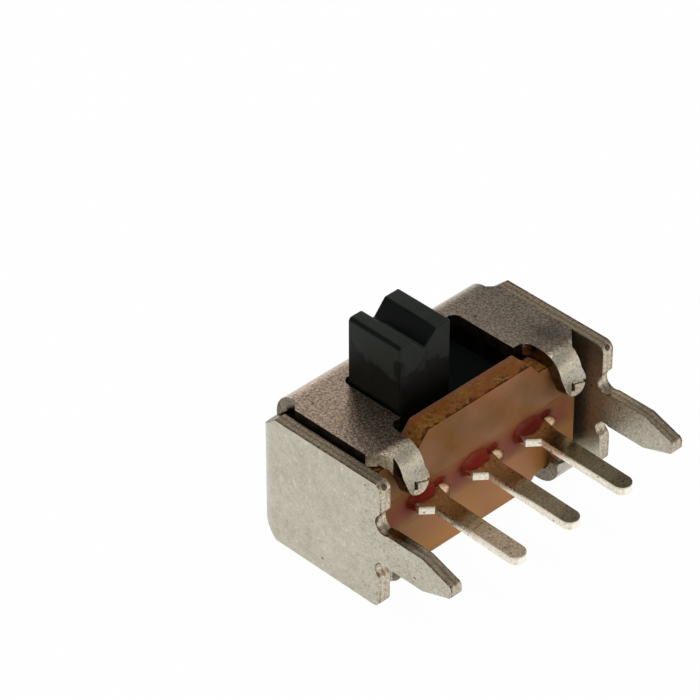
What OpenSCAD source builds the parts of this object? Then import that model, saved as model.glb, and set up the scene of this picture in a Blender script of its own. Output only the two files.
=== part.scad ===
// Miniature right-angle slide switch: a folded sheet-metal shell clinched over a
// laminate terminal board with three flat terminals, and a slider with a grooved
// thumb piece that carries a bridging contact from one pair of terminals to the next.
// X is the way the slider travels, -Y the way the terminals and legs point, +Z up.
// The origin is on the underside, midway across and midway through the shell.

/* [Shell] */
// Width over the two end plates
body_w = 8.7; // [8.6:0.1:9.4]
// Depth from the stand-off edges to the back
body_d = 4.63; // [4.6:0.02:5]
// Height over the top and bottom flaps
body_h = 4.3; // [4.2:0.1:4.8]
// How far the end plates stop short of the top flap's outer face
plate_drop = 0.175; // [0.1:0.025:0.2]
// How far the end plates stop short of the bottom flap's outer face
plate_lift = 0.11; // [0.05:0.01:0.2]
// Thickness of the sheet
sheet_t = 0.38; // [0.32:0.02:0.4]
// Inside radius of the folds
fold_r = 0.32; // [0.28:0.02:0.36]
// Slit between a flap and an end plate
slit_w = 0.14; // [0.1:0.02:0.2]

/* [Legs] */
// Width of a bracket leg
leg_w = 1.04; // [0.9:0.02:1.1]
// How far a leg reaches past the stand-off edges
leg_l = 2.56; // [2.2:0.02:3.2]
// Width of a leg's tip
leg_tip_w = 0.45; // [0.4:0.05:0.6]
// Length of a leg's tapered end
leg_taper = 1.02; // [0.8:0.01:1.2]

/* [Clinch tabs] */
// Width of a tab
tab_w = 0.78; // [0.66:0.02:0.8]
// Distance of a tab's middle from the middle of the shell
tab_x = 2.94; // [2.9:0.01:2.98]
// Length of a tab's straight end
tab_l = 0.72; // [0.6:0.01:0.8]
// Angle that a tab is folded through
tab_angle = 77; // [77:1:84]
// Angle by which the clinching tool pushes a tab's end sideways
tab_lean = 17; // [0:1:20]

/* [Terminal board] */
// Thickness of the board
board_t = 0.7; // [0.6:0.02:0.8]
// How far the board's face lies behind the stand-off edges
board_set = 0.695; // [0.68:0.005:0.75]
// Width of the tongue at its top edge
tongue_w = 3.8; // [3.6:0.1:3.9]

/* [Terminals] */
// Distance between terminals
pitch = 2; // [1.9:0.05:2]
// Width of a terminal's blade
blade_w = 0.55; // [0.45:0.05:0.6]
// Thickness of the terminal strip
blade_t = 0.25; // [0.2:0.01:0.3]
// How far the blades reach past the stand-off edges
blade_l = 2.84; // [2.4:0.02:3.4]
// How far a blade droops between its root and its tip
blade_droop = 0.08; // [0:0.01:0.1]
// Width of a terminal where it leaves the board
root_w = 1.18; // [1.1:0.02:1.3]

/* [Slider] */
// Travel of the slider from one position to the other
travel = 2.24; // [2:0.02:2.3]
// Width of the thumb piece along the travel
knob_w = 1.84; // [1.6:0.02:1.9]
// Depth of the thumb piece across the travel
knob_d = 1.9; // [1.7:0.05:1.9]
// How far the thumb piece stands above the shell
knob_h = 2.12; // [1.5:0.01:4]
// Width of the groove in the thumb piece
groove_w = 0.86; // [0.6:0.02:0.9]
// Depth of the groove
groove_d = 0.44; // [0.3:0.02:0.6]

/* [Hidden] */
$fn = 64;
far = 20;

// Half sizes and planes of the shell, measured from its middle
half_w = body_w / 2;
half_d = body_d / 2;
half_h = body_h / 2;
fold_out = fold_r + sheet_t;
plate_in = half_w - sheet_t;
flap_in = half_h - sheet_t;
back_in = half_d - sheet_t;
plate_top = half_h - plate_drop;
plate_foot = plate_lift - half_h;

// Flaps: side edge, cut corners behind and in front, the edge set back between the tabs,
// and the rounded step beside a tab
flap_x = plate_in - slit_w;
corner_cut = 0.29;
flap_back = half_d - fold_out;
flap_front = 1.045 - half_d;
board_face = -half_d + board_set;
board_rear = board_face + board_t;
flap_edge = board_rear + 0.12;
step_r = 0.3;

// Slot for the thumb piece
slot_gap = 0.06;
slot_w = knob_w + travel + 2 * slot_gap;
slot_r = 0.25;

// Tabs: sides, the outside radius of the fold, where it starts, and the cut corner beside it
tab_in = tab_x - tab_w / 2;
tab_out = tab_x + tab_w / 2;
tab_fold_out = sheet_t + 0.35;
tab_start = board_face + 0.2;
tab_corner = flap_x - tab_out - flap_front + tab_start;
tab_overlap = 0.04;
nip_depth = 0.12;
nip_l = 0.42;
nip_side = 0.13;
crack_w = 0.18;
crack_l = 0.26;
crack_depth = 0.13;
crack_rise = 0.09;

// End plate: slanted rear corners, relief notches beside the leg, rounded front corners
rear_slope_y = half_d - 0.765;
rear_slope_z = 0.685;
notch_r = 0.3;
notch_depth = 0.17;
notch_z = leg_w / 2 + 0.26;
mouth_r = 0.2;
mouth_rise = sqrt((notch_r + mouth_r) ^ 2 - (notch_r - notch_depth + mouth_r) ^ 2);
corner_r = 0.24;
tip_r = 0.16;
nick_r = 0.09;
nick_z = plate_top - 0.12;

// Board: edges, tongue and shoulders
board_end_gap = 0.29;
board_half_w = plate_in - board_end_gap;
tongue_half_h = half_h - 0.06;
shoulder_z = flap_in - 0.08;
tongue_slope = 49;
shoulder_x = tongue_w / 2 + (tongue_half_h - shoulder_z) / tan(tongue_slope);

// Terminals: the flared root, the head behind the board and its inner end
root_l = 0.36;
root_taper = 0.27;
head_w = root_w + 0.3;
head_l = 0.87;
lug_x = 0.42;
lug_turn = 13;
lug_slope = 18;
lug_l = 0.62;

// Varnish: a thin band along the terminals with a thicker pool round each
varnish_band_t = 0.08;
varnish_band_w = 0.9;
varnish_end_gap = 0.04;
varnish_half_w = board_half_w - varnish_end_gap - varnish_band_w / 2;
varnish_z = 0.12;
varnish_pool_t = 0.16;
varnish_pool_w = 0.66;
pool_z = 0.1;
pool_left = root_w / 2 - 0.09;
pool_right = root_w / 2 - 0.19;

// Slider: running gaps to the shell and the board, and the channel for the clip
run_gap = 0.06;
rest_x = -travel / 2;
carrier_half_w = plate_in - travel / 2 - 0.07;
carrier_front = board_rear + run_gap;
carrier_back = back_in - run_gap;
carrier_half_h = flap_in - run_gap;
carrier_r = fold_r - run_gap;
channel_half_h = 0.95;
channel_back = 0.75;
slot_back = half_d - 0.935;
knob_back = slot_back - 0.19;

// Contact clip: strip thickness, finger width and spacing
clip_t = 0.1;
finger_w = 0.56;
finger_x = 0.95;
touch_gap = 0.03;

// Moves what is drawn about the shell's middle height up to its real height
module at_mid_height() {
    translate([0, 0, half_h]) children();
}

// Draws children on both sides of the YZ plane
module both_ends() {
    children();
    mirror([1, 0, 0]) children();
}

// Draws children above and below the middle height
module top_and_bottom() {
    children();
    mirror([0, 0, 1]) children();
}

// Extrudes a shape drawn in Y and Z along X, centred
module along_x(length) {
    rotate([90, 0, 90]) linear_extrude(height = length, center = true) children();
}

// Quarter ring of a fold in the first quadrant
module fold_section(outer) {
    intersection() {
        difference() {
            circle(r = outer);
            circle(r = outer - sheet_t);
        }
        square(outer + 1);
    }
}

// Rectangle from one corner to the opposite one
module box_2d(low, high) {
    translate(low) square(high - low);
}

// Strip of the given thickness that follows a list of points, with round joints
module strip_2d(points, thickness) {
    for (i = [0 : len(points) - 2]) {
        run = points[i + 1] - points[i];
        translate(points[i]) rotate(atan2(run.y, run.x))
            translate([0, -thickness / 2]) square([norm(run), thickness]);
    }
    for (p = points) translate(p) circle(d = thickness);
}

// Side outline of an end plate with its leg, in Y and Z about the middle height
module end_plate_outline() {
    difference() {
        union() {
            polygon([
                [-half_d + corner_r, plate_foot], [rear_slope_y, plate_foot],
                [half_d, plate_foot + rear_slope_z], [half_d, plate_top - rear_slope_z],
                [rear_slope_y, plate_top], [-half_d + corner_r, plate_top]
            ]);
            box_2d([-half_d, plate_foot + corner_r], [0, plate_top - corner_r]);
            for (z = [plate_foot + corner_r, plate_top - corner_r])
                translate([-half_d + corner_r, z]) circle(r = corner_r);
            leg_outline();
        }
        for (s = [0, 1]) mirror([0, s]) relief_notch();
    }
}

// Relief notch beside a leg: a punched arc that runs out over a rounded mouth
module relief_notch() {
    translate([-half_d, notch_z]) {
        translate([notch_depth - notch_r, 0]) circle(r = notch_r);
        difference() {
            polygon([
                [notch_depth - notch_r, 0], [mouth_r, mouth_rise],
                [notch_depth - notch_r, mouth_rise]
            ]);
            translate([mouth_r, mouth_rise]) circle(r = mouth_r);
        }
    }
}

// Bracket leg: parallel sides, then a taper to a blunt tip with rounded corners
module leg_outline() {
    tip = -half_d - leg_l;
    polygon([
        [-half_d + 0.3, -leg_w / 2], [-half_d + 0.3, leg_w / 2],
        [tip + leg_taper, leg_w / 2], [tip + tip_r, leg_tip_w / 2],
        [tip + tip_r, -leg_tip_w / 2], [tip + leg_taper, -leg_w / 2]
    ]);
    box_2d([tip, tip_r - leg_tip_w / 2], [tip + tip_r, leg_tip_w / 2 - tip_r]);
    for (s = [-1, 1])
        translate([tip + tip_r, s * (leg_tip_w / 2 - tip_r)]) circle(r = tip_r);
}

// End plate, the fold behind it and the strip of back plate that the fold grows from
module end_plate() {
    difference() {
        folded_plate();
        translate([half_w - sheet_t / 2, -half_d + nick_r / 2, nick_z]) sphere(r = nick_r);
    }
}

// End plate before the shearing nick in its front edge
module folded_plate() {
    intersection() {
        linear_extrude(height = body_h, center = true) {
            box_2d([plate_in, -half_d - leg_l - 1], [half_w, half_d - fold_out]);
            translate([half_w - fold_out, half_d - fold_out]) fold_section(fold_out);
            box_2d([flap_x - corner_cut, back_in], [half_w - fold_out, half_d]);
        }
        along_x(2 * far) end_plate_outline();
    }
}

// Middle of the back plate
module back_plate() {
    translate([0, half_d - sheet_t / 2, 0])
        cube([2 * (flap_x - corner_cut), sheet_t, 2 * (half_h - fold_out)], center = true);
}

// Plan of one half of a flap: cut corners, and a front edge set back between the tabs
module flap_plan() {
    polygon([
        [0, far], [flap_x - corner_cut, far], [flap_x - corner_cut, flap_back],
        [flap_x, flap_back - corner_cut], [flap_x, flap_front],
        [tab_out + tab_corner, tab_start], [tab_in, tab_start], [tab_in, flap_edge],
        [0, flap_edge]
    ]);
    difference() {
        box_2d([tab_in - step_r, flap_edge - step_r], [tab_in + tab_overlap, flap_edge]);
        translate([tab_in - step_r, flap_edge - step_r]) circle(r = step_r);
    }
}

// Slot for the thumb piece: open to the front, with rounded corners behind
module slot_plan() {
    box_2d([-slot_w / 2, -half_d], [slot_w / 2, slot_back - slot_r]);
    box_2d([-slot_w / 2 + slot_r, 0], [slot_w / 2 - slot_r, slot_back]);
    for (s = [-1, 1])
        translate([s * (slot_w / 2 - slot_r), slot_back - slot_r]) circle(r = slot_r);
}

// Flap with the fold behind it
module flap(slotted) {
    intersection() {
        along_x(2 * far) {
            box_2d([-half_d, flap_in], [half_d - fold_out, half_h]);
            translate([half_d - fold_out, half_h - fold_out]) fold_section(fold_out);
        }
        linear_extrude(height = half_h + 1) difference() {
            both_ends() flap_plan();
            if (slotted) slot_plan();
        }
    }
}

// Clinch tab: folded down over the board's shoulder, its end pushed a little sideways
module clinch_tab(outward) {
    translate([0, tab_start, half_h - tab_fold_out]) {
        intersection() {
            along_x(2 * tab_w + 2 * tab_corner) difference() {
                circle(r = tab_fold_out);
                circle(r = tab_fold_out - sheet_t);
            }
            along_x(2 * far)
                polygon([[0, 0], [0, 1], [-1, 1], [-1, cos(tab_angle) / sin(tab_angle)]]);
            linear_extrude(height = 1) scale([outward, 1]) polygon([
                [-tab_w / 2, 0], [tab_w / 2 + tab_corner, 0], [tab_w / 2, -tab_corner],
                [tab_w / 2, -1], [-tab_w / 2, -1]
            ]);
        }
        rotate([tab_angle - 90, 0, 0]) translate([0, -tab_fold_out, 0]) tab_end();
    }
}

// Straight end of a tab: round tip, with the nip that the clinching tool leaves in it and
// the hooked crack round the nip
module tab_end() {
    side = [cos(tab_lean), -sin(tab_lean)] * tab_w / 2;
    reach = tab_l - tab_w / 2;
    middle = [reach * tan(tab_lean), reach];
    difference() {
        rotate([-90, 0, 0]) linear_extrude(height = sheet_t) {
            polygon([
                [-tab_w / 2, -tab_overlap], [tab_w / 2, -tab_overlap], [tab_w / 2, 0],
                middle + side, middle - side, [-tab_w / 2, 0]
            ]);
            intersection() {
                translate(middle) circle(d = tab_w);
                box_2d([-far, 0], [far, far]);
            }
        }
        translate([middle.x - nip_side, nip_depth, nip_l - tab_l]) rotate([-10, 12, -10]) {
            translate([0, -1, -1]) cube(1);
            translate([0, -nip_depth, -crack_l])
                cube([crack_w, nip_depth + crack_depth, crack_l]);
            translate([0, -nip_depth, -crack_rise]) cube([1, nip_depth + crack_depth / 2, crack_rise]);
        }
    }
}

// Folded shell: back plate, two flaps, two end plates with legs and four clinch tabs
module shell() {
    color([0.74, 0.72, 0.67]) at_mid_height() {
        back_plate();
        flap(true);
        mirror([0, 0, 1]) flap(false);
        both_ends() end_plate();
        for (turn = [0, 180], s = [-1, 1])
            rotate([0, turn, 0]) translate([s * tab_x, 0, 0]) clinch_tab(s);
    }
}

// Outline of the board in X and Z: a tongue above and below between sloping shoulders
module board_outline() {
    quarter = [
        [board_half_w, shoulder_z], [shoulder_x, shoulder_z], [tongue_w / 2, tongue_half_h]
    ];
    polygon([
        for (p = quarter) p,
        for (i = [2 : -1 : 0]) [-quarter[i].x, quarter[i].y],
        for (p = quarter) -p,
        for (i = [2 : -1 : 0]) [quarter[i].x, -quarter[i].y]
    ]);
}

// Punched laminate board with a slot for each terminal
module terminal_board() {
    color([0.52, 0.34, 0.16]) at_mid_height() difference() {
        translate([0, board_rear, 0]) rotate([90, 0, 0])
            linear_extrude(height = board_t) board_outline();
        for (i = [-1 : 1])
            translate([i * pitch, 0, 0]) cube([root_w, far, blade_t], center = true);
    }
}

// Plan of a terminal: head behind the board, root through it, taper and round-ended blade
module terminal_plan() {
    taper_start = board_face - root_l;
    tip = -half_d - blade_l;
    edge = [
        [head_w / 2, board_rear + head_l], [head_w / 2, board_rear], [root_w / 2, board_rear],
        [root_w / 2, taper_start], [blade_w / 2, taper_start - root_taper],
        [blade_w / 2, tip]
    ];
    difference() {
        polygon([
            for (p = edge) p,
            for (i = [len(edge) - 1 : -1 : 0]) [-edge[i].x, edge[i].y]
        ]);
        difference() {
            box_2d([-blade_w, tip - 1], [blade_w, tip + blade_w / 2]);
            translate([0, tip + blade_w / 2]) circle(d = blade_w);
        }
    }
}

// Side view of a terminal: level through the board, then drooping to the tip and beyond it
module terminal_side() {
    half = blade_t / 2;
    bend = board_face - root_l - root_taper;
    tip = -half_d - blade_l;
    past = tip - blade_w;
    drop = blade_droop * (bend - past) / (bend - tip);
    polygon([
        [far, -half], [far, half], [bend, half],
        [past, half - drop], [past, -half - drop], [bend, -half]
    ]);
}

// One stamped terminal at a place along the row: -1, 0 or 1
module terminal(place) {
    color([0.78, 0.74, 0.66]) at_mid_height() translate([place * pitch, 0, 0]) {
        intersection() {
            linear_extrude(height = 1, center = true) terminal_plan();
            along_x(2 * head_w) terminal_side();
        }
        staking_lug();
    }
}

// Lug that the staking punch turns up at the right shoulder of a root
module staking_lug() {
    intersection() {
        linear_extrude(height = 1) terminal_plan();
        translate([lug_x, board_face, blade_t / 2]) rotate(-lug_turn) difference() {
            translate([0, -lug_l, -blade_t]) cube([1, lug_l, 1]);
            rotate([0, -lug_slope, 0]) translate([-1, -far / 2, 0]) cube([far, far, far]);
        }
    }
}

// Varnish that seals the terminals: a band on the board's face and a pool round each root
module sealing_varnish() {
    color([0.5, 0.15, 0.12]) at_mid_height() difference() {
        translate([0, board_face, 0]) rotate([90, 0, 0]) {
            translate([0, varnish_z]) linear_extrude(height = varnish_band_t)
                strip_2d([[-varnish_half_w, 0], [varnish_half_w, 0]], varnish_band_w);
            linear_extrude(height = varnish_pool_t)
                for (i = [-1 : 1]) translate([i * pitch, pool_z])
                    strip_2d([[-pool_left, 0], [pool_right, 0]], varnish_pool_w);
        }
        for (i = [-1 : 1]) translate([i * pitch, 0, 0]) {
            cube([root_w, far, blade_t], center = true);
            staking_lug();
        }
    }
}

// Side view of the thumb piece: two flat ridges with a V groove between them
module knob_outline() {
    top = body_h + knob_h;
    left = -knob_w / 2;
    ridge = 0.46;
    soft = 0.13;
    groove_mid = left + ridge + groove_w / 2;
    foot = half_h + (channel_half_h + carrier_half_h) / 2;
    difference() {
        union() {
            box_2d([left, foot], [knob_w / 2, top - soft]);
            box_2d([left + soft, foot], [knob_w / 2 - soft / 2, top]);
            translate([left + soft, top - soft]) circle(r = soft);
            translate([knob_w / 2 - soft / 2, top - soft / 2]) circle(r = soft / 2);
            box_2d([0, foot], [knob_w / 2, top - soft / 2]);
        }
        polygon([
            [groove_mid - groove_w / 2, top], [groove_mid - groove_w / 2, top + 1],
            [groove_mid + groove_w / 2, top + 1], [groove_mid + groove_w / 2, top],
            [groove_mid + 0.04, top - groove_d], [groove_mid - 0.04, top - groove_d]
        ]);
    }
}

// Carrier section with back corners rounded to follow the shell's folds
module round_backed_box(half) {
    box_2d([carrier_front, -half], [carrier_back - carrier_r, half]);
    box_2d([0, carrier_r - half], [carrier_back, half - carrier_r]);
    for (s = [-1, 1])
        translate([carrier_back - carrier_r, s * (half - carrier_r)]) circle(r = carrier_r);
}

// Moulded slider: a carrier that runs inside the shell and a grooved thumb piece above it
module slider() {
    color([0.09, 0.1, 0.1]) translate([rest_x, 0, 0]) {
        translate([0, knob_back, 0]) rotate([90, 0, 0])
            linear_extrude(height = knob_d) knob_outline();
        at_mid_height() intersection() {
            along_x(2 * carrier_half_w) difference() {
                round_backed_box(carrier_half_h);
                box_2d([carrier_front - 1, -channel_half_h], [channel_back, channel_half_h]);
            }
            linear_extrude(height = body_h, center = true)
                rotate(90) mirror([0, 1]) round_backed_box(carrier_half_w);
        }
    }
}

// Side view of one spring finger, pinched towards the terminals and flared at its end
module finger_outline() {
    touch = blade_t / 2 + touch_gap + clip_t / 2;
    strip_2d([
        [channel_back - clip_t / 2, channel_half_h - clip_t / 2],
        [channel_back - 0.3, channel_half_h - 0.14],
        [-0.15, touch + 0.12],
        [board_rear + 0.5, touch],
        [board_rear + 0.28, touch + 0.14]
    ], clip_t);
}

// Bridging contact: a web in the slider's channel with two pairs of spring fingers
module contact_clip() {
    web_w = 2 * finger_x + finger_w;
    color([0.8, 0.55, 0.3]) at_mid_height() translate([rest_x, 0, 0]) {
        translate([0, channel_back - clip_t / 2, 0])
            cube([web_w, clip_t, 2 * channel_half_h - clip_t], center = true);
        top_and_bottom() for (s = [-1, 1])
            translate([s * finger_x, 0, 0]) along_x(finger_w) finger_outline();
    }
}

shell();
terminal_board();
terminal(-1);  // terminal_left
terminal(0);  // terminal_middle
terminal(1);  // terminal_right
sealing_varnish();
slider();
contact_clip();
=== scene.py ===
"""Looks of a miniature right-angle slide switch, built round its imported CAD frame."""
import math

import bmesh
import bpy
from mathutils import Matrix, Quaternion, Vector
from mathutils.noise import noise as noise_at


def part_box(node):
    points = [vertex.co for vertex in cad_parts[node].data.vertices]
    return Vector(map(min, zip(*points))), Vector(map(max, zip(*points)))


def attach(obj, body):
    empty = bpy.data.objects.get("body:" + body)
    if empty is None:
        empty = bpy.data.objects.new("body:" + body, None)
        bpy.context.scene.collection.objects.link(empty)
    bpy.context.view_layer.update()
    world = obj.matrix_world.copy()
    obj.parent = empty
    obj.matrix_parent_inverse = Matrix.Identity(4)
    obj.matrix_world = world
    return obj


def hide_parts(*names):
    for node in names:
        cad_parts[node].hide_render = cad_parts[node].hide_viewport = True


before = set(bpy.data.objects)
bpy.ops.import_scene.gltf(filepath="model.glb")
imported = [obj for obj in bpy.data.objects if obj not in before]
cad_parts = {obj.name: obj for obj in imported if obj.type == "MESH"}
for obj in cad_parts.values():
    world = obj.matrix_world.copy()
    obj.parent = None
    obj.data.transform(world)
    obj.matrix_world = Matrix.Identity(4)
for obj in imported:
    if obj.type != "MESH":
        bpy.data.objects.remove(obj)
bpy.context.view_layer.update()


# --- Folded shell -----------------------------------------------------------------
# One stamping of 0.38 mm steel strip, tin plated before it was blanked, folded round
# the slider and clinched over the terminal board. The plating is satin and finely
# grained; the press leaves round corners on the cut edges, and a torn band under them.

MM = 0.001
SAME_POINT = 0.002 * MM
FLAT_ANGLE = math.radians(0.6)
EDGE_ANGLE = math.radians(32)
SMOOTH_ANGLE = math.radians(45)
UNCHANGED = (1, 1, 1, 1)  # a tint that leaves a colour as it is


def whole_copy(node):
    """A bmesh copy of a CAD solid with its points merged and its flat faces whole."""
    bm = bmesh.new()
    bm.from_mesh(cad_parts[node].data)
    bmesh.ops.remove_doubles(bm, verts=bm.verts, dist=SAME_POINT)
    bmesh.ops.dissolve_limit(bm, angle_limit=FLAT_ANGLE, verts=bm.verts, edges=bm.edges)
    bm.normal_update()
    return bm


def sharp_edges(bm):
    return [e for e in bm.edges if e.is_manifold and e.calc_face_angle(0) > EDGE_ANGLE]


def round_edges(bm, edges, width, segments):
    """Bevels the edges and gives back the faces of the rounding."""
    return bmesh.ops.bevel(
        bm, geom=edges, offset=width, offset_type="OFFSET", segments=segments,
        profile=0.5, affect="EDGES", clamp_overlap=True, material=-1,
    )["faces"]


def finished_piece(bm, name, materials, body, node):
    """Turns a bmesh into a smooth-shaded piece that stands for a CAD node."""
    for face in bm.faces:
        face.smooth = True
    bm.normal_update()
    for edge in bm.edges:
        edge.smooth = edge.calc_face_angle(0) < SMOOTH_ANGLE
    mesh = bpy.data.meshes.new(name)
    bm.to_mesh(mesh)
    bm.free()
    for material in materials:
        mesh.materials.append(material)
    piece = bpy.data.objects.new(name, mesh)
    bpy.context.scene.collection.objects.link(piece)
    weighted = piece.modifiers.new("face_weighted_shading", "WEIGHTED_NORMAL")
    weighted.keep_sharp = True
    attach(piece, body)
    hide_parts(node)


def hex_colour(code):
    """An sRGB hex value as linear red, green, blue and alpha."""
    parts = [int(code[i:i + 2], 16) / 255 for i in (1, 3, 5)]
    return [p / 12.92 if p <= 0.04045 else ((p + 0.055) / 1.055) ** 2.4 for p in parts] + [1]


def new_material(name):
    """A material whose node tree is still empty; gives the tree too."""
    material = bpy.data.materials.new(name)
    material.use_nodes = True
    material.node_tree.nodes.clear()
    return material, material.node_tree


def add(tree, kind, sockets=(), **settings):
    """Adds a node with its settings and links.

    Sockets are given by name, or as a list in the node's own order. Each takes a value, an
    output of another node, or a whole node, which stands for its first output in use.
    """
    node = tree.nodes.new("ShaderNode" + kind)
    for key, value in settings.items():
        setattr(node, key, value)
    if isinstance(sockets, dict):
        pairs = [(node.inputs[name], value) for name, value in sockets.items()]
    else:
        pairs = list(zip([socket for socket in node.inputs if socket.enabled], sockets))
    for socket, value in pairs:
        if isinstance(value, bpy.types.Node):
            value = next(output for output in value.outputs if output.enabled)
        if isinstance(value, bpy.types.NodeSocket):
            tree.links.new(value, socket)
        else:
            socket.default_value = value
    return node


# Tin plate on steel, satin: pale warm grey with soft patches, light tin spangles, scuffs
# and a few dark pits. The plating's grain is a few thousandths of a millimetre in truth,
# and is drawn at 0.06 to 0.09 mm so that it shows.
tin, tree = new_material("satin_tin_plate")
place = add(tree, "TexCoord").outputs["Object"]
spot = add(tree, "SeparateXYZ", [place]).outputs
facing = add(tree, "SeparateXYZ", [add(tree, "NewGeometry").outputs["Normal"]]).outputs["Z"]
clouds = add(tree, "TexNoise", {
    "Vector": place, "Scale": 1 / (1.1 * MM), "Detail": 4, "Roughness": 0.6})
patches = add(tree, "MapRange", [clouds, 0.35, 0.7, 0.0, 0.4])
colour = add(tree, "Mix", [patches, hex_colour("#C0BAAA"), hex_colour("#A89E8A")],
             data_type="RGBA")
streaks = add(tree, "TexNoise", {
    "Vector": place, "Scale": 1 / (0.2 * MM), "Detail": 3, "Roughness": 0.6})
grit = add(tree, "TexNoise", {
    "Vector": place, "Scale": 1 / (0.06 * MM), "Detail": 2, "Roughness": 0.8})
thin_spots = add(tree, "TexNoise", {
    "Vector": place, "Scale": 1 / (0.6 * MM), "Detail": 3, "Roughness": 0.6})
cells = add(tree, "TexVoronoi", {"Vector": place, "Scale": 1 / (0.42 * MM)})
pits = add(tree, "Math", [cells, add(tree, "MapRange", [thin_spots, 0.48, 0.6, 0.1, 0.0])])
spangles = add(tree, "TexVoronoi", {"Vector": place, "Scale": 1 / (0.3 * MM)})
upright = add(tree, "VectorMath", [place, (1.0, 1.0, 0.4)], operation="MULTIPLY")
scuffs = add(tree, "TexVoronoi", {"Vector": upright, "Scale": 1 / (0.5 * MM)})
shade = add(tree, "MapRange", [streaks, 0.3, 0.7, 0.9, 1.08])
for pattern, *span in (
        (grit, 0.3, 0.42, 0.66, 1.0), (grit, 0.56, 0.68, 1.0, 1.2), (pits, 0.07, 0.14, 0.35, 1.0),
        (spangles, 0.12, 0.22, 1.15, 1.0), (scuffs, 0.06, 0.12, 1.25, 1.0)):
    shade = add(tree, "Math", [shade, add(tree, "MapRange", [pattern, *span])],
                operation="MULTIPLY")

# Faces that look up get a leathery grain and a painted reflection, a brown tint that darkens
# towards the right end.
upward = add(tree, "MapRange", [facing, 0.78, 0.97, 0.0, 1.0])
leather = add(tree, "TexNoise", {
    "Vector": place, "Scale": 1 / (0.065 * MM), "Detail": 2, "Roughness": 0.6})
leather = add(tree, "MapRange", [leather, 0.38, 0.62, -0.42, 0.38])
leather = add(tree, "Math", [leather, upward, 1.0], operation="MULTIPLY_ADD")
shade = add(tree, "Math", [shade, leather], operation="MULTIPLY")
to_right = add(tree, "MapRange", [spot["X"], -2.6 * MM, 3.4 * MM, 0.0, 1.0])
top_painted_tint = add(tree, "Mix", [to_right, (1.1, 0.9, 0.83, 1), (0.46, 0.4, 0.38, 1)],
              data_type="RGBA")

# Over the tabs the faces that look up are lighter, a painted highlight lights the tabs'
# bends, and the tabs' ends are a little darker.
uneven = add(tree, "TexNoise", {
    "Vector": place, "Scale": 1 / (0.15 * MM), "Detail": 4, "Roughness": 0.8})
uneven = add(tree, "Math", [uneven, 0.5 * MM, spot["Y"]], operation="MULTIPLY_ADD")
over_tabs = add(tree, "MapRange", [uneven, -1.27 * MM, -1.55 * MM, 0.0, 1.0])
top_painted_tint = add(tree, "Mix", [over_tabs, top_painted_tint, (1.52, 1.44, 1.3, 1)], data_type="RGBA")
from_middle = add(tree, "Math", [spot["X"]], operation="ABSOLUTE")
tab_end = add(tree, "Math", [
    add(tree, "MapRange", [from_middle, 3.6 * MM, 3.7 * MM, 1.0, 0.0]),
    add(tree, "MapRange", [spot["Y"], -1.6 * MM, -1.8 * MM, 0.0, 1.0])], operation="MULTIPLY")
plain = add(tree, "Mix", [tab_end, UNCHANGED, (0.84, 0.84, 0.84, 1)], data_type="RGBA")
tint = add(tree, "Mix", [upward, plain, top_painted_tint], data_type="RGBA")
bend_painted_highlight = add(tree, "Math", [
    add(tree, "MapRange", [facing, 0.25, 0.6, 0.0, 1.0]),
    add(tree, "MapRange", [facing, 0.97, 0.78, 0.0, 1.0])], operation="MULTIPLY")
bend_painted_highlight = add(tree, "Math", [over_tabs, bend_painted_highlight], operation="MULTIPLY")
tint = add(tree, "Mix", [bend_painted_highlight, tint, (1.25, 1.2, 1.12, 1)], data_type="RGBA")

# A dark smudge on the top flap's right end, and fine flecks over the tabs.
smudge = add(tree, "VectorMath", [place, (3.2 * MM, -1.0 * MM, 4.3 * MM)], operation="DISTANCE")
ragged = add(tree, "TexNoise", {
    "Vector": place, "Scale": 1 / (0.35 * MM), "Detail": 3, "Roughness": 0.6})
smudge = add(tree, "Math", [ragged, 1.2 * MM, smudge], operation="MULTIPLY_ADD")
smudge = add(tree, "MapRange", [smudge, 0.75 * MM, 1.4 * MM, 0.5, 1.0])
flecks = add(tree, "TexNoise", {
    "Vector": place, "Scale": 1 / (0.08 * MM), "Detail": 1, "Roughness": 0.6})
flecks = add(tree, "MapRange", [flecks, 0.34, 0.42, 0.72, 1.0])
marks = add(tree, "Mix", [over_tabs, smudge, flecks], data_type="RGBA")
shade = add(tree, "Math", [shade, marks], operation="MULTIPLY")
base = add(tree, "VectorMath", [colour, shade], operation="SCALE")
base = add(tree, "VectorMath", [base, tint], operation="MULTIPLY")

# Satin all over, but duller on the faces that look up and in a band by the right end plate.
grain = add(tree, "TexNoise", {
    "Vector": place, "Scale": 1 / (0.09 * MM), "Detail": 3, "Roughness": 0.6})
band = add(tree, "Math", [spot["X"], 3.9 * MM, 0.08 * MM], operation="COMPARE")
dull = add(tree, "MapRange", [grain, 0.3, 0.7, 0.16, 0.28])
dull = add(tree, "Math", [band, 0.16, dull], operation="MULTIPLY_ADD")
dull = add(tree, "Math", [upward, 0.06, dull], operation="MULTIPLY_ADD")
surface = add(tree, "BsdfPrincipled", {
    "Base Color": base, "Metallic": 1.0, "Roughness": dull,
    "Normal": add(tree, "Bump", {"Height": grain, "Distance": 0.009 * MM})})
add(tree, "OutputMaterial", {"Surface": surface})

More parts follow.
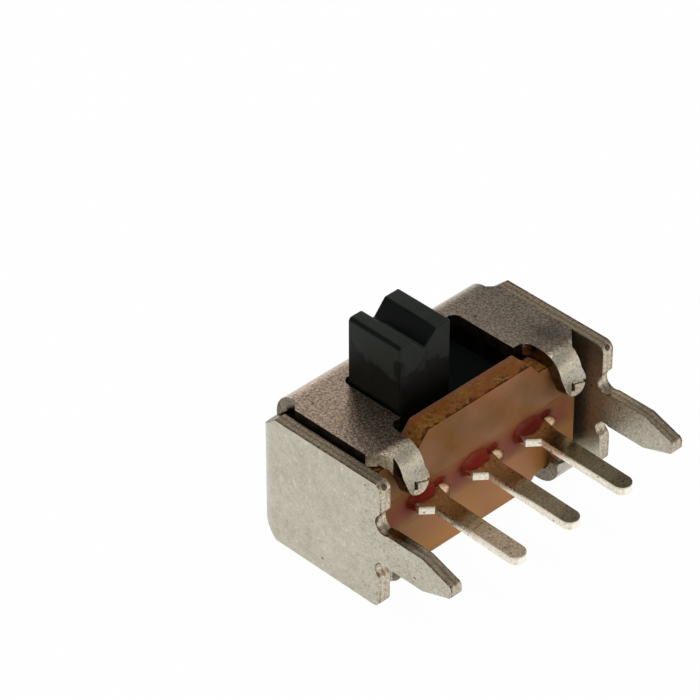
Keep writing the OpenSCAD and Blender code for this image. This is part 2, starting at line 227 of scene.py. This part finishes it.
# Sheared steel: burnished and torn bands run along the thickness of an end plate, light
# and dark by turns, with tear marks across them, drawn at 0.07 mm, coarser than real.
sheared, tree = new_material("sheared_steel_edge")
place = add(tree, "TexCoord").outputs["Object"]
spot = add(tree, "SeparateXYZ", [place]).outputs
facing = add(tree, "SeparateXYZ", [add(tree, "NewGeometry").outputs["Normal"]]).outputs
tears = add(tree, "TexNoise", {
    "Vector": place, "Scale": 1 / (0.07 * MM), "Detail": 4, "Roughness": 0.7})
torn = add(tree, "MapRange", [tears, 0.35, 0.65, 0.0, 1.0])
colour = add(tree, "Mix", [torn, hex_colour("#867C6C"), hex_colour("#C4BBA8")],
             data_type="RGBA")
from_middle = add(tree, "Math", [spot["X"]], operation="ABSOLUTE")
drawn = add(tree, "VectorMath", [place, (1.0, 0.3, 0.3)], operation="MULTIPLY")
wander = add(tree, "TexNoise", {
    "Vector": drawn, "Scale": 1 / (0.25 * MM), "Detail": 3, "Roughness": 0.6})
depth = add(tree, "MapRange", [from_middle, 3.97 * MM, 4.35 * MM, -0.15, 0.85])
depth = add(tree, "Math", [wander, 0.3, depth], operation="MULTIPLY_ADD")
depth = add(tree, "Math", [depth, math.tau / 0.45], operation="MULTIPLY")
bands = add(tree, "Math", [depth], operation="COSINE")
# Faces that look up get painted shade in the dark bands and a warm painted reflection.
upward = add(tree, "MapRange", [facing["Z"], 0.2, 0.7, 0.0, 1.0])
trough_with_painted_shade = add(tree, "MapRange", [upward, 0.0, 1.0, 0.9, 0.66])
shade = add(tree, "MapRange", [bands, 1.0, -1.0, trough_with_painted_shade, 1.05])

# Dark chips at the outer rim, and the whole right end plate darker; the faces turned
# inwards or back get a painted shade, and those turned to the front a painted highlight.
rim = add(tree, "MapRange", [from_middle, 4.29 * MM, 4.33 * MM, 0.0, 1.0])
chips = add(tree, "TexNoise", {
    "Vector": place, "Scale": 1 / (0.16 * MM), "Detail": 3, "Roughness": 0.6})
chips = add(tree, "Math", [rim, add(tree, "MapRange", [chips, 0.45, 0.55, 0.0, 0.65])],
            operation="MULTIPLY")
sideways = add(tree, "Math", [facing["X"]], operation="ABSOLUTE")
inner_painted_shade = add(tree, "Math", [
    add(tree, "MapRange", [sideways, 0.8, 0.95, 0.0, 0.45]),
    add(tree, "MapRange", [from_middle, 3.9 * MM, 3.97 * MM, 1.0, 0.0])], operation="MULTIPLY")
right = add(tree, "MapRange", [spot["X"], 0.0, 1 * MM, 0.0, 0.1])
front_painted_highlight = add(tree, "MapRange", [facing["Y"], -0.6, -0.9, 0.0, -0.4])
back = add(tree, "MapRange", [facing["Y"], 0.2, 0.6, 0.0, 0.45])
for darkening in (chips, inner_painted_shade, right, front_painted_highlight, back):
    rest = add(tree, "Math", [1.0, darkening], operation="SUBTRACT")
    shade = add(tree, "Math", [shade, rest], operation="MULTIPLY")
warm_painted_reflection = add(tree, "Mix", [upward, UNCHANGED, (1.05, 0.94, 0.85, 1)], data_type="RGBA")
colour = add(tree, "VectorMath", [colour, warm_painted_reflection], operation="MULTIPLY")
surface = add(tree, "BsdfPrincipled", {
    "Base Color": add(tree, "VectorMath", [colour, shade], operation="SCALE"),
    "Metallic": 1.0, "Roughness": 0.2, "Specular Tint": (0.5, 0.45, 0.4, 1),
    "Normal": add(tree, "Bump", {"Height": tears, "Distance": 0.006 * MM})})
add(tree, "OutputMaterial", {"Surface": surface})

# A nearly black painted shade on the cut edges round the slot and the slits, inside, and in
# the nicks: mottled, with a dull shine, and paler in the nicks and torn tab ends.
painted_shade_edge, tree = new_material("painted_shade_steel_edge")
place = add(tree, "TexCoord").outputs["Object"]
spot = add(tree, "SeparateXYZ", [place]).outputs
film = add(tree, "TexNoise", {
    "Vector": place, "Scale": 1 / (0.3 * MM), "Detail": 4, "Roughness": 0.6})
film = add(tree, "MapRange", [film, 0.35, 0.65, 0.0, 1.0])
colour = add(tree, "Mix", [film, hex_colour("#0A0805"), hex_colour("#1E1811")],
             data_type="RGBA")
paler_in_front = add(tree, "MapRange", [spot["Y"], -1.4 * MM, -1.6 * MM, 0.0, 1.0])
surface = add(tree, "BsdfPrincipled", {
    "Base Color": add(tree, "Mix", [paler_in_front, colour, hex_colour("#655C4C")], data_type="RGBA"),
    "Roughness": add(tree, "MapRange", [film, 0.0, 1.0, 0.35, 0.55]),
    "Specular IOR Level": 0.08})
add(tree, "OutputMaterial", {"Surface": surface})

# The sheet's faces keep the plating and its cut edges are sheared; those round the slot, in
# the slits, inside, and in the tabs' nicks get the nearly black painted shade.
PLATED, SHEARED, PAINTED_SHADE = 0, 1, 2
low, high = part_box("shell")
mid_z = (low.z + high.z) / 2
board_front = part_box("terminal_board")[0].y
sheet = 0.38 * MM
back_folds = high.y - 0.7 * MM
back_corners = 1.3 * MM
tabs_end = low.y + 4 * MM
slot_end = 2.4 * MM
slit = 3.5 * MM
flap_end = 3.6 * MM
nip_reach = Vector((3.4, 0, 1.4)) * MM
nip_slope, nip_floor, nip_top = (-0.974, 0.225), 0.05, 0.99
pressed_edge = 0.035 * MM
cavity = Vector((0, 0.9 * MM, mid_z))
cavity_front = -0.9 * MM
nick_place, nick_radius = Vector((4.16, -2.27, 4.005)) * MM, 0.091 * MM
shell = whole_copy("shell")
for face in shell.faces:
    spot, way = face.calc_center_median(), face.normal
    side, rise = abs(spot.x), abs(spot.z - mid_z)
    along_x = abs(way.x) > 0.9
    in_plate = side > high.x - sheet and abs(way.x) < 0.5 and spot.y < back_folds
    in_flap = (rise > high.z - mid_z - sheet and abs(way.z) < 0.2 and side < high.x - sheet
               and spot.y < back_folds)
    in_tab = spot.y < tabs_end and along_x and side < high.x - 1.1 * sheet
    by_slot = in_flap and side < slot_end and spot.y > cavity_front and way.z ** 2 < 0.2
    by_slit = in_flap and along_x and side > slit
    at_flap_end = along_x and slit < side < flap_end
    inside = spot.y > cavity_front and way.dot(cavity - spot) > 0.5 * MM
    nip_way = Vector((0, nip_slope[0], math.copysign(nip_slope[1], spot.z - mid_z)))
    tilt = abs(way.dot(nip_way))
    in_nip = (spot.y < board_front and side < nip_reach.x and rise < nip_reach.z
              and nip_floor < tilt < nip_top)
    at_back_corner = (spot.y > back_corners and side > flap_end and abs(way.y) > 0.5
                      and abs(way.z) > 0.5)
    nick = Vector((math.copysign(nick_place.x, spot.x), nick_place.y, nick_place.z))
    in_nick = (spot - nick).length < nick_radius
    # These faces get the nearly black painted shade.
    if by_slot or by_slit or inside or in_nick or in_nip and tilt < 0.5:
        face.material_index = PAINTED_SHADE
    elif in_plate or in_flap or in_tab or at_flap_end or at_back_corner or in_nip:
        face.material_index = SHEARED
    else:
        face.material_index = PLATED
for face in round_edges(shell, sharp_edges(shell), pressed_edge, 3):
    face.material_index = max(face.material_index, SHEARED)
finished_piece(shell, "folded_shell", [tin, sheared, painted_shade_edge], "housing",
               "shell")


# --- Terminal board -----------------------------------------------------------------
# Punched from 0.7 mm paper laminate bonded with resin: amber brown and a little
# translucent, glossy on its pressed faces, dull and fibrous where the punch cut it.

RESIN_GLOW = (0.9, 0.45, 0.2)  # red light runs furthest inside the resin


def laminate_colour(tree, place):
    """Amber brown, clouded, and lighter towards the lower edge where more light gets in."""
    clouds = add(tree, "TexNoise", {
        "Vector": place, "Scale": 1 / (1.3 * MM), "Detail": 3, "Roughness": 0.5})
    clouds = add(tree, "MapRange", [clouds, 0.35, 0.65, 0.0, 1.0])
    upper = add(tree, "Mix", [clouds, hex_colour("#7A501F"), hex_colour("#93623E")],
                data_type="RGBA")
    lower = add(tree, "Mix", [clouds, hex_colour("#B98440"), hex_colour("#B47A4C")],
                data_type="RGBA")
    height = add(tree, "SeparateXYZ", [place]).outputs["Z"]
    lit = add(tree, "MapRange", [height, 3.0 * MM, 0.4 * MM, 0.0, 1.0])
    return add(tree, "Mix", [lit, upper, lower], data_type="RGBA")


# Paper laminate pressed between plates: a smooth, faintly rippled resin gloss over a
# colour that glows a little from inside.
laminate, tree = new_material("pressed_resin_laminate")
place = add(tree, "TexCoord").outputs["Object"]
ripples = add(tree, "TexNoise", {
    "Vector": place, "Scale": 1 / (0.12 * MM), "Detail": 3, "Roughness": 0.6})
surface = add(tree, "BsdfPrincipled", {
    "Base Color": laminate_colour(tree, place), "Roughness": 0.3, "Specular IOR Level": 0.15,
    "Subsurface Weight": 0.35, "Subsurface Radius": RESIN_GLOW, "Subsurface Scale": 0.5 * MM,
    "Normal": add(tree, "Bump", {
        "Height": ripples, "Strength": 0.4, "Distance": 0.004 * MM})})
add(tree, "OutputMaterial", {"Surface": surface})

# The same laminate where the punch tore it: matt, darker, blotched and fibrous. The
# fibres are drawn at 0.11 mm, coarser than paper has them.
punched, tree = new_material("punched_laminate_edge")
place = add(tree, "TexCoord").outputs["Object"]
through = add(tree, "SeparateXYZ", [place]).outputs["Y"]
fibres = add(tree, "TexNoise", {
    "Vector": place, "Scale": 1 / (0.11 * MM), "Detail": 4, "Roughness": 0.6})
torn = add(tree, "MapRange", [fibres, 0.36, 0.62, 0.0, 1.0])
colour = add(tree, "Mix", [torn, hex_colour("#553212"), hex_colour("#7E5524")],
             data_type="RGBA")
stains = add(tree, "TexNoise", {
    "Vector": place, "Scale": 1 / (0.5 * MM), "Detail": 3, "Roughness": 0.6})
stains = add(tree, "MapRange", [stains, 0.42, 0.58, 0.0, 1.0])
colour = add(tree, "Mix", [stains, colour, hex_colour("#6E3E14")], data_type="RGBA")
# Towards the back the cut edge is painted mauve brown: a painted sheen on its rounded rear edge.
rear_painted_sheen = add(tree, "MapRange", [through, -1.12 * MM, -1.0 * MM, 0.0, 0.7])
colour = add(tree, "Mix", [rear_painted_sheen, colour, hex_colour("#6B4634")], data_type="RGBA")
ragged = add(tree, "TexNoise", {
    "Vector": place, "Scale": 1 / (0.22 * MM), "Detail": 3, "Roughness": 0.6})
ragged = add(tree, "Math", [ragged, 0.5 * MM, through], operation="MULTIPLY_ADD")
broken = add(tree, "MapRange", [ragged, -1.33 * MM, -1.28 * MM, 0.3, 1.0])
spots = add(tree, "TexNoise", {
    "Vector": place, "Scale": 1 / (0.24 * MM), "Detail": 2, "Roughness": 0.6})
spots = add(tree, "MapRange", [spots, 0.3, 0.34, 0.45, 1.0])
shade = add(tree, "Math", [broken, spots], operation="MULTIPLY")
surface = add(tree, "BsdfPrincipled", {
    "Base Color": add(tree, "VectorMath", [colour, shade], operation="SCALE"),
    "Roughness": 0.6, "Specular IOR Level": 0.08,
    "Subsurface Weight": 0.2, "Subsurface Radius": RESIN_GLOW, "Subsurface Scale": 0.3 * MM,
    "Normal": add(tree, "Bump", {"Height": fibres, "Distance": 0.015 * MM})})
add(tree, "OutputMaterial", {"Surface": surface})

punched_edge = 0.02 * MM
board = whole_copy("terminal_board")
for face in board.faces:
    cut_by_punch = abs(face.normal.y) < 0.5
    face.material_index = 1 if cut_by_punch else 0
round_edges(board, sharp_edges(board), punched_edge, 2)
finished_piece(board, "laminate_board", [laminate, punched], "housing",
               "terminal_board")


# --- Terminals ----------------------------------------------------------------------
# Three blades stamped from 0.25 mm brass strip with a thin bright tin plate. The punch
# rounds one side of each blade and leaves the sheared sides grainy.

roots = {"left": -2.0, "middle": 0.0, "right": 2.0}  # mm along X

# Tinned brass strip, rolled and then punched: warm pale tin, grainy and specked on the cut
# sides, with a pale, unspecked painted highlight on the faces turned to the front. The
# specks are drawn coarser than real.
blade_tin, tree = new_material("tinned_brass_strip")
place = add(tree, "TexCoord").outputs["Object"]
spot = add(tree, "SeparateXYZ", [place]).outputs
facing = add(tree, "SeparateXYZ", [add(tree, "NewGeometry").outputs["Normal"]]).outputs
grain = add(tree, "TexNoise", {
    "Vector": place, "Scale": 1 / (0.07 * MM), "Detail": 4, "Roughness": 0.65})
front_painted_bright = add(tree, "MapRange", [facing["Y"], -0.7, -0.9, 0.0, 1.0])
pale = add(tree, "Math", [add(tree, "MapRange", [grain, 0.35, 0.65, 0.0, 1.0]), front_painted_bright],
           operation="MAXIMUM")
colour = add(tree, "Mix", [pale, hex_colour("#D2C8B0"), hex_colour("#FFF8EA")],
             data_type="RGBA")
cells = add(tree, "TexVoronoi", {"Vector": place, "Scale": 1 / (0.22 * MM)})
specks = add(tree, "Math", [add(tree, "MapRange", [cells, 0.12, 0.2, 0.45, 1.0]), front_painted_bright],
             operation="MAXIMUM")

# One fine scratch runs across the left blade.
slant = add(tree, "Math", [spot["X"], -0.09, spot["Y"]], operation="MULTIPLY_ADD")
scratch = add(tree, "Math", [slant, -3.37 * MM, 0.014 * MM], operation="COMPARE")
for start, end, depth in ((-2.16 * MM, -2.14 * MM, 1.0), (-1.2 * MM, -1.25 * MM, 0.6)):
    reach = add(tree, "MapRange", [spot["X"], start, end, 0.0, depth])
    scratch = add(tree, "Math", [scratch, reach], operation="MULTIPLY")
scratch = add(tree, "Math", [1.0, scratch], operation="SUBTRACT")
shade = add(tree, "Math", [specks, scratch], operation="MULTIPLY")
colour = add(tree, "VectorMath", [colour, shade], operation="SCALE")

# The top faces get a painted reflection, brown-grey and darker on the right blade, but for
# the left blade's worn outer part; a painted highlight lights them at the roots, and a
# browner painted reflection lies between.
flat = add(tree, "MapRange", [facing["Z"], 0.6, 0.9, 0.0, 1.0])
outer = add(tree, "MapRange", [spot["Y"], -3.3 * MM, -3.5 * MM, 0.0, 1.0])
left = add(tree, "MapRange", [spot["X"], -1.6 * MM, -1.2 * MM, 1.0, 0.0])
scuffed = add(tree, "Math", [outer, left], operation="MULTIPLY")
top_painted_reflection = add(tree, "Math", [flat, scuffed], operation="SUBTRACT", use_clamp=True)
darker = add(tree, "Math", [
    add(tree, "MapRange", [spot["X"], 0.3 * MM, 1.6 * MM, 0.0, 1.0]),
    add(tree, "MapRange", [spot["Y"], -2.9 * MM, -3.3 * MM, 0.0, 1.0])], operation="MULTIPLY")
top_reflection_colour = add(tree, "Mix", [darker, (0.43, 0.36, 0.28, 1), (0.31, 0.27, 0.2, 1)],
              data_type="RGBA")
worn = add(tree, "Math", [scuffed, flat], operation="MULTIPLY")
worn = add(tree, "Mix", [worn, UNCHANGED, (0.85, 0.7, 0.58, 1)], data_type="RGBA")
tint = add(tree, "Mix", [top_painted_reflection, worn, top_reflection_colour], data_type="RGBA")
root_painted_reflection = (1.3, 1.4, 1.3, 1)
for start, end, change in (
        (-2.9 * MM, -2.2 * MM, (2.2, 2.5, 2.8, 1)), (-3.05 * MM, -3.3 * MM, (0.85, 0.75, 0.6, 1)),
        (-3.4 * MM, -4.0 * MM, UNCHANGED)):
    reach = add(tree, "MapRange", [spot["Y"], start, end, 0.0, 1.0])
    root_painted_reflection = add(tree, "Mix", [reach, root_painted_reflection, change], data_type="RGBA")
root_painted_reflection = add(tree, "Mix", [flat, UNCHANGED, root_painted_reflection], data_type="RGBA")
tint = add(tree, "VectorMath", [tint, root_painted_reflection], operation="MULTIPLY")
scuffs = add(tree, "TexNoise", {
    "Vector": place, "Scale": 1 / (0.06 * MM), "Detail": 2, "Roughness": 0.6})
scuffs = add(tree, "MapRange", [scuffs, 0.38, 0.62, -0.24, 0.1])
scuffs = add(tree, "Math", [scuffs, add(tree, "Math", [outer, flat], operation="MULTIPLY"), 1.0],
             operation="MULTIPLY_ADD")
tint = add(tree, "VectorMath", [tint, scuffs], operation="SCALE")
rounded = add(tree, "Math", [
    add(tree, "MapRange", [facing["Z"], 0.05, 0.2, 0.0, 1.0]),
    add(tree, "MapRange", [facing["Z"], 0.99, 0.94, 0.0, 0.7])], operation="MULTIPLY")
tip = add(tree, "Math", [
    top_painted_reflection, add(tree, "MapRange", [spot["Y"], -4.5 * MM, -4.8 * MM, 0.0, 0.3])],
    operation="MULTIPLY")
for darkening in (rounded, tip):
    rest = add(tree, "Math", [1.0, darkening], operation="SUBTRACT")
    tint = add(tree, "VectorMath", [tint, rest], operation="SCALE")
smooth = add(tree, "Math", [
    add(tree, "MapRange", [top_painted_reflection, 0.0, 1.0, 1.0, 0.45]),
    add(tree, "MapRange", [spot["Y"], -3.0 * MM, -2.3 * MM, 1.0, 1.8])], operation="MULTIPLY")
rough = add(tree, "MapRange", [grain, 0.3, 0.7, 0.14, 0.32])
surface = add(tree, "BsdfPrincipled", {
    "Base Color": add(tree, "VectorMath", [colour, tint], operation="MULTIPLY"),
    "Metallic": 1.0, "Roughness": add(tree, "Math", [rough, smooth], operation="MULTIPLY"),
    "Normal": add(tree, "Bump", {"Height": grain, "Distance": 0.0015 * MM})})
add(tree, "OutputMaterial", {"Surface": surface})

# Tinned brass that the staking punch has upset beside each root: dented, with one small
# bright cream spot in brown. The pattern repeats at each blade, 2 mm apart.
upset, tree = new_material("upset_tinned_brass")
place = add(tree, "TexCoord").outputs["Object"]
spot = add(tree, "SeparateXYZ", [place]).outputs
dents = add(tree, "TexNoise", {
    "Vector": place, "Scale": 1 / (0.09 * MM), "Detail": 3, "Roughness": 0.6})
from_root = add(tree, "Math", [spot["X"], 1 * MM, -1 * MM], operation="WRAP")
from_root = add(tree, "CombineXYZ", {"X": from_root, "Y": spot["Y"]})
from_cream_spot = add(tree, "VectorMath", [from_root, (0.36 * MM, -1.88 * MM, 0.0)],
                  operation="DISTANCE")
cream_spot = add(tree, "MapRange", [dents, 0.35, 0.65, 0.0, 1.0])
cream_spot = add(tree, "Mix", [cream_spot, hex_colour("#D8AE80"), hex_colour("#FFE9C8")],
             data_type="RGBA")
off_cream_spot = add(tree, "MapRange", [from_cream_spot, 0.12 * MM, 0.2 * MM, 0.0, 1.0])
surface = add(tree, "BsdfPrincipled", {
    "Base Color": add(tree, "Mix", [off_cream_spot, cream_spot, hex_colour("#7A4A2C")],
                      data_type="RGBA"),
    "Metallic": 0.3, "Roughness": 0.4,
    "Normal": add(tree, "Bump", {"Height": dents, "Distance": 0.03 * MM})})
add(tree, "OutputMaterial", {"Surface": surface})

# Tin of the staking lugs' sides, mottled brown.
brown_lug_tin, tree = new_material("brown_staking_lug_tin")
place = add(tree, "TexCoord").outputs["Object"]
stain = add(tree, "TexNoise", {
    "Vector": place, "Scale": 1 / (0.09 * MM), "Detail": 3, "Roughness": 0.6})
stain = add(tree, "MapRange", [stain, 0.35, 0.65, 0.0, 1.0])
surface = add(tree, "BsdfPrincipled", {
    "Base Color": add(tree, "Mix", [stain, hex_colour("#6E5038"), hex_colour("#8A6A4C")],
                      data_type="RGBA"),
    "Metallic": 1.0, "Roughness": 0.35})
add(tree, "OutputMaterial", {"Surface": surface})

lug_start = 0.3  # mm from the middle of a blade
for side, root in roots.items():
    blade = whole_copy(f"terminal_{side}")
    for face in blade.faces:
        struck_by_punch = face.normal.x < -0.2 and face.normal.z > 0.5
        on_lug = face.calc_center_median().x > (root + lug_start) * MM
        face.material_index = 1 if struck_by_punch else 2 if on_lug else 0
    round_edges(blade, sharp_edges(blade), pressed_edge, 3)
    finished_piece(blade, f"blade_{side}", [blade_tin, upset, brown_lug_tin], "housing",
                   f"terminal_{side}")


# --- Sealing varnish ------------------------------------------------------------------
# Red varnish brushed along the terminals to seal their slots: a thin pink film where it
# was wiped along the board, and deep red drops that gathered on each root.

# Brushed varnish, half clear: the laminate shows through where it is thin, and it turns
# deep blood red with depth, darker to the right, with a soft shine.
varnish, tree = new_material("red_sealing_varnish")
place = add(tree, "TexCoord").outputs["Object"]
across = add(tree, "SeparateXYZ", [place]).outputs["X"]
depth = add(tree, "Attribute", attribute_name="varnish_depth").outputs["Fac"]
wiped = add(tree, "MapRange", [depth, 0.0, 0.5, 0.0, 1.0])
wiped = add(tree, "Mix", [wiped, laminate_colour(tree, place), hex_colour("#8C4A34")],
            data_type="RGBA")
right = add(tree, "MapRange", [across, 0.8 * MM, 1.6 * MM, 1.0, 0.62])
deep = add(tree, "VectorMath", [hex_colour("#6E1A0C")[:3], right], operation="SCALE")
gathered = add(tree, "MapRange", [depth, 0.5, 1.0, 0.0, 1.0])
surface = add(tree, "BsdfPrincipled", {
    "Base Color": add(tree, "Mix", [gathered, wiped, deep], data_type="RGBA"),
    "Roughness": 0.35, "Specular IOR Level": 0.08,
    "Subsurface Weight": 0.35, "Subsurface Radius": RESIN_GLOW, "Subsurface Scale": 0.5 * MM})
add(tree, "OutputMaterial", {"Surface": surface})

# In millimetres: the film's size, how far it lies below the board's middle, how far in it
# thins out, and its thickness; each drop's place from its root (across, up) and its half
# size (across, out, up).
film_width, film_height, film_below, film_fade = 7.3, 1.1, 0.1, 0.5
film_swell, film_skin = 0.035, 0.03
drops = (((-0.16, 0.125), (0.5, 0.3, 0.26)), ((0.5, 0.17), (0.2, 0.1, 0.13)),
         ((-0.5, 0.0), (0.2, 0.3, 0.17)))
squareness = 1.7  # of a drop's outline: 1 would be a diamond, 2 an ellipse
uneven_film, uneven_drop, thinnest = 0.4, 0.12, 0.03
face_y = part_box("sealing_varnish")[1].y
board_low, board_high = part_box("terminal_board")
board_middle = (board_low.z + board_high.z) / 2
film = bmesh.new()
depth = film.verts.layers.float.new("varnish_depth")
bmesh.ops.create_grid(film, x_segments=180, y_segments=30, size=0.5)
for vert in film.verts:
    x, rise = film_width * vert.co.x, film_height * vert.co.y - film_below
    uneven = noise_at(Vector((x, 0, rise)) / 0.5)
    edge = min(1, (film_width / 2 - abs(x)) / film_fade,
               1 - ((rise + film_below) / (film_height / 2)) ** 2)
    thick = min(max(edge + uneven_film * uneven, thinnest), 1)
    near = max(math.exp(-((x - root - spot[0]) / size[0]) ** 2 - ((rise - spot[1]) / size[2]) ** 2)
               for root in roots.values() for spot, size in drops)
    vert[depth] = min(0.5 * thick + 1.5 * near, 1)
    vert.co = Vector((x, 0, board_middle / MM + rise)) * MM
    vert.co.y = face_y - film_swell * MM * thick
film.normal_update()
bmesh.ops.solidify(film, geom=film.faces[:], thickness=film_skin * MM)
for root in roots.values():
    for spot, size in drops:
        made = bmesh.ops.create_uvsphere(film, u_segments=64, v_segments=32, radius=1)
        for vert in made["verts"]:
            across, out, up = vert.co
            swell = 1 + uneven_drop * noise_at(vert.co * 1.7 + Vector((root, 0, 0)))
            if out or up:
                swell *= math.hypot(out, up) / (
                    abs(out) ** squareness + abs(up) ** squareness) ** (1 / squareness)
            vert[depth] = 0.7 + 0.3 * min(1, max(0, -out) * 1.6)
            vert.co = Vector((root + spot[0] + size[0] * swell * across, size[1] * swell * out,
                              spot[1] + size[2] * swell * up)) * MM
            vert.co += Vector((0, face_y, board_middle))
bmesh.ops.recalc_face_normals(film, faces=film.faces)
finished_piece(film, "red_varnish", [varnish], "housing", "sealing_varnish")


# --- Contact clip -----------------------------------------------------------------------
# A strip of 0.1 mm phosphor bronze, bent into two pairs of spring fingers that slide
# along the terminals inside the shell.

# Phosphor bronze, cold rolled: reddish gold with a bright, slightly cloudy shine.
bronze, tree = new_material("rolled_phosphor_bronze")
place = add(tree, "TexCoord").outputs["Object"]
clouds = add(tree, "TexNoise", {
    "Vector": place, "Scale": 1 / (0.08 * MM), "Detail": 3, "Roughness": 0.6})
surface = add(tree, "BsdfPrincipled", {
    "Base Color": hex_colour("#C58F52"), "Metallic": 1.0,
    "Roughness": add(tree, "MapRange", [clouds, 0.0, 1.0, 0.25, 0.4])})
add(tree, "OutputMaterial", {"Surface": surface})
clip_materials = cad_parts["contact_clip"].data.materials
clip_materials.clear()
clip_materials.append(bronze)


# --- Slider -----------------------------------------------------------------------------
# Injection moulded in black nylon: a carrier inside the shell and a thumb piece with a V
# groove. The mould's spark finish gives it a soft sheen, and a grey painted sheen on top.

def black_nylon(name, sheen):
    """Black nylon from a spark-eroded mould: soft black, with a grey painted sheen on its top.

    The mould's pits are drawn at 0.06 mm, coarser than real. The sheen is a number, not a
    pattern, so each sheen is a material of its own.
    """
    material, tree = new_material(name)
    place = add(tree, "TexCoord").outputs["Object"]
    height = add(tree, "SeparateXYZ", [place]).outputs["Z"]
    facing = add(tree, "SeparateXYZ", [add(tree, "NewGeometry").outputs["Normal"]]).outputs
    smears = add(tree, "TexNoise", {
        "Vector": place, "Scale": 1 / (0.7 * MM), "Detail": 3, "Roughness": 0.6})
    uneven = add(tree, "TexNoise", {
        "Vector": place, "Scale": 1 / (0.8 * MM), "Detail": 3, "Roughness": 0.6})
    pitted = add(tree, "TexNoise", {
        "Vector": place, "Scale": 1 / (0.06 * MM), "Detail": 3, "Roughness": 0.6})
    groove = add(tree, "Math", [facing["X"], facing["Z"]], operation="MULTIPLY")
    groove = add(tree, "Math", [groove], operation="ABSOLUTE")
    # The top of the thumb piece gets a patchy grey painted sheen, kept off the V groove's slopes.
    wiped = add(tree, "Math", [uneven, 2.6 * MM, height], operation="MULTIPLY_ADD")
    wiped = add(tree, "MapRange", [wiped, 6.7 * MM, 6.95 * MM, 0.0, 1.0])
    for pattern, *span in ((groove, 0.2, 0.35, 1.0, 0.0), (smears, 0.35, 0.6, 0.7, 1.0)):
        wiped = add(tree, "Math", [wiped, add(tree, "MapRange", [pattern, *span])],
                    operation="MULTIPLY")
    surface = add(tree, "BsdfPrincipled", {
        "Base Color": add(tree, "Mix", [wiped, hex_colour("#030604"), hex_colour("#20241F")],
                          data_type="RGBA"),
        "Roughness": add(tree, "MapRange", [smears, 0.38, 0.62, 0.3, 0.5]),
        "Specular IOR Level": sheen,
        "Normal": add(tree, "Bump", {
            "Height": pitted, "Strength": 0.6, "Distance": 0.005 * MM})})
    add(tree, "OutputMaterial", {"Surface": surface})
    return material


moulded_edge = 0.05 * MM
shell_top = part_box("shell")[1].z
thumb = whole_copy("slider")
for face in thumb.faces:
    in_shell = face.calc_center_median().z < shell_top
    face.material_index = 1 if in_shell else 0
round_edges(thumb, [e for e in sharp_edges(thumb) if e.is_convex], moulded_edge, 4)
# The carrier inside the shell has a copy with less sheen: greased, and painted shade where the
# shell hides it from the light.
nylons = [black_nylon("moulded_black_nylon", 0.1), black_nylon("shaded_and_greased_black_nylon", 0.02)]
finished_piece(thumb, "moulded_slider", nylons, "slider_unit", "slider")


# --- Stage ------------------------------------------------------------------------------
# A white floor in an even, soft studio light, bright from all round and dimmer from
# above, with one weak softbox overhead.

# Matt white board: it shows white to the camera and in gloss, and keeps the shadow.
floor_white, tree = new_material("white_floor")
seen = add(tree, "LightPath").outputs
direct = seen["Is Camera Ray"]
for ray in ("Is Glossy Ray", "Is Transmission Ray"):
    direct = add(tree, "Math", [direct, seen[ray]], operation="MAXIMUM")
share = add(tree, "Math", [direct, 0.97], operation="MULTIPLY")
matt = add(tree, "BsdfDiffuse", {"Color": (0.85, 0.85, 0.85, 1)})
glow = add(tree, "Emission", {"Color": (1, 1, 1, 1), "Strength": 1.0})
add(tree, "OutputMaterial", {"Surface": add(tree, "MixShader", [share, matt, glow])})
floor = bmesh.new()
bmesh.ops.create_grid(floor, x_segments=1, y_segments=1, size=1.5)
mesh = bpy.data.meshes.new("floor")
floor.to_mesh(mesh)
floor.free()
mesh.materials.append(floor_white)
floor = bpy.data.objects.new("floor", mesh)
floor.location.z = -0.002 * MM
bpy.context.scene.collection.objects.link(floor)

# The world's light, by height: 0.95 from the sides, 0.42 from above, and white as seen.
world = bpy.data.worlds.new("studio")
bpy.context.scene.world = world
world.use_nodes = True
tree = world.node_tree
tree.nodes.clear()
height = add(tree, "SeparateXYZ", [add(tree, "TexCoord").outputs["Generated"]]).outputs["Z"]
dimmer = add(tree, "MapRange", [height, 0.2, 0.62, 0.95, 0.42])
seen = add(tree, "LightPath").outputs["Is Camera Ray"]
sky = add(tree, "Background", {
    "Color": (1, 1, 1, 1), "Strength": add(tree, "Math", [dimmer, seen], operation="MAXIMUM")})
add(tree, "OutputWorld", {"Surface": sky})

softbox_place = Vector((-0.05, -0.04, 0.40))
softbox = bpy.data.lights.new("softbox_above", "AREA")
softbox.shape = "SQUARE"
softbox.size = 0.25
softbox.energy = 0.8
lamp = bpy.data.objects.new("softbox_above", softbox)
lamp.location = softbox_place
lamp.rotation_mode = "QUATERNION"
lamp.rotation_quaternion = softbox_place.to_track_quat("Z", "Y")
bpy.context.scene.collection.objects.link(lamp)

turn, rise, roll = math.radians(-44.415), math.radians(37.319), math.radians(-0.1)
aim = Vector((-0.00074, 0.00244, 0.00399))
distance = 0.110
back = Vector((math.sin(turn) * math.cos(rise), -math.cos(turn) * math.cos(rise), math.sin(rise)))
lens = bpy.data.cameras.new("camera")
lens.sensor_width = 36
lens.lens = 214.1
lens.clip_start = 0.01
lens.clip_end = 10
camera = bpy.data.objects.new("camera", lens)
camera.location = aim + back * distance
camera.rotation_mode = "QUATERNION"
camera.rotation_quaternion = (-back).to_track_quat("-Z", "Y") @ Quaternion((0, 0, 1), roll)
bpy.context.scene.collection.objects.link(camera)
bpy.context.scene.camera = camera
bpy.context.scene.view_settings.view_transform = "Standard"
